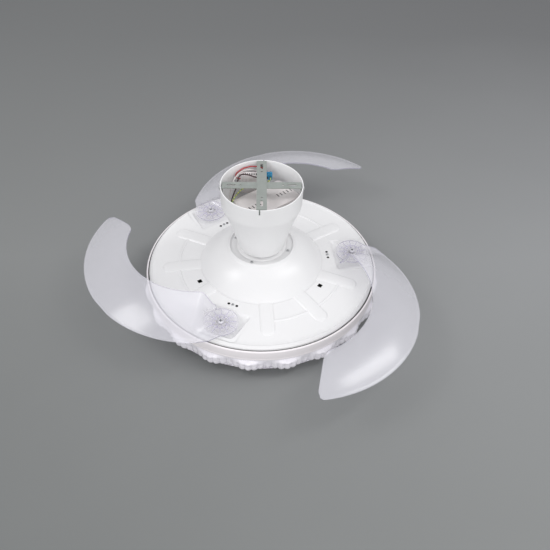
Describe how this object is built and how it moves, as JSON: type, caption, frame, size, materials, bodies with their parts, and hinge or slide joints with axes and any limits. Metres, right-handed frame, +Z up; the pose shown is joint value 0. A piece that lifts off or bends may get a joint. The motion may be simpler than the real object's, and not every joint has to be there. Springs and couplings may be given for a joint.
{
  "type": "retractable blade ceiling fan",
  "caption": "Ceiling fan with a light: clear crescent blades swing out from a flat round body under a tapering canopy cup, and fold back over it when it stops",
  "frame": {"origin": "The middle of the ceiling bracket's top face, where it meets the ceiling.", "axes": "+Z points up to the ceiling, along the shaft. +Y points away from the picture's camera, and +X to its right."},
  "size_m": [0.6987, 0.7753, 0.2868],
  "materials": {
    "zinc_steel": "zinc-plated pressed steel",
    "white_paint": "white gloss paint on pressed steel",
    "screw_steel": "plated screw steel",
    "white_plastic": "white moulded plastic, satin",
    "blue_plastic": "blue connector body",
    "red_wire": "red wire insulation",
    "white_wire": "white wire insulation",
    "black_wire": "black wire insulation",
    "earth_wire": "green and yellow wire insulation",
    "dark_steel": "dark steel motor parts",
    "copper_wire": "enamelled copper winding",
    "board": "white-coated lamp board",
    "frosted_acrylic": "frosted clear acrylic",
    "nylon": "natural nylon",
    "clear_plastic": "clear polycarbonate, slightly violet"
  },
  "bodies": {
    "ceiling_body": {"bracket_bar_upper": "zinc_steel", "bracket_bar_lower": "zinc_steel", "canopy_cup": "white_paint", "canopy_screw_1": "screw_steel", "canopy_screw_2": "screw_steel", "receiver_box": "white_plastic", "receiver_lid": "white_plastic", "light_driver": "white_plastic", "wire_connector": "blue_plastic", "wire_red": "red_wire", "wire_white": "white_wire", "wire_black": "black_wire", "wire_earth": "earth_wire", "shaft_lead": "white_wire", "shaft_plate": "zinc_steel", "hollow_shaft": "dark_steel", "shaft_nut_upper": "zinc_steel", "shaft_nut_lower": "zinc_steel", "shaft_spacer": "dark_steel", "stator_core": "dark_steel", "stator_winding": "copper_wire", "outer_rim": "white_plastic", "light_tray": "dark_steel", "lamp_board": "board", "shade_ring": "white_plastic", "scalloped_shade": "frosted_acrylic"},
    "rotor": {"motor_housing": "dark_steel", "motor_bottom_cover": "dark_steel", "bearing_upper": "screw_steel", "bearing_lower": "screw_steel", "magnet_ring": "dark_steel", "motor_cover_dome": "white_plastic", "collar_screw_1": "screw_steel", "collar_screw_2": "screw_steel", "collar_screw_3": "screw_steel", "collar_screw_4": "screw_steel", "rotor_disc": "white_plastic", "pivot_bush_1": "nylon", "pivot_bush_2": "nylon", "pivot_bush_3": "nylon", "return_spring_1": "screw_steel", "return_spring_2": "screw_steel", "return_spring_3": "screw_steel", "spring_post_1": "nylon", "spring_post_2": "nylon", "spring_post_3": "nylon", "post_screw_1": "screw_steel", "post_screw_2": "screw_steel", "post_screw_3": "screw_steel"},
    "blade_unit_1": {"blade_1": "clear_plastic", "blade_arm_1": "nylon", "blade_screw_1": "screw_steel"},
    "blade_unit_2": {"blade_2": "clear_plastic", "blade_arm_2": "nylon", "blade_screw_2": "screw_steel"},
    "blade_unit_3": {"blade_3": "clear_plastic", "blade_arm_3": "nylon", "blade_screw_3": "screw_steel"}
  },
  "joints": [
    {"name": "rotor_spin", "type": "hinge", "parent": "ceiling_body", "child": "rotor", "pos_m": [0, 0, -0.18], "axis": [0, 0, 1], "continuous": true},
    {"name": "blade_1_fold", "type": "hinge", "parent": "rotor", "child": "blade_unit_1", "pos_m": [0.19971, 0.02275, -0.2], "axis": [0, 0, 1], "range_deg": [-43.2, 0]},
    {"name": "blade_2_fold", "type": "hinge", "parent": "rotor", "child": "blade_unit_2", "pos_m": [-0.11956, 0.16158, -0.2], "axis": [0, 0, 1], "range_deg": [-50.2, 0]},
    {"name": "blade_3_fold", "type": "hinge", "parent": "rotor", "child": "blade_unit_3", "pos_m": [-0.08015, -0.18433, -0.2], "axis": [0, 0, 1], "range_deg": [-38, 0]}
  ],
  "couplings": [
    {"joint": "blade_2_fold", "follows": "blade_1_fold", "ratio": 1.162},
    {"joint": "blade_3_fold", "follows": "blade_1_fold", "ratio": 0.8796}
  ]
}
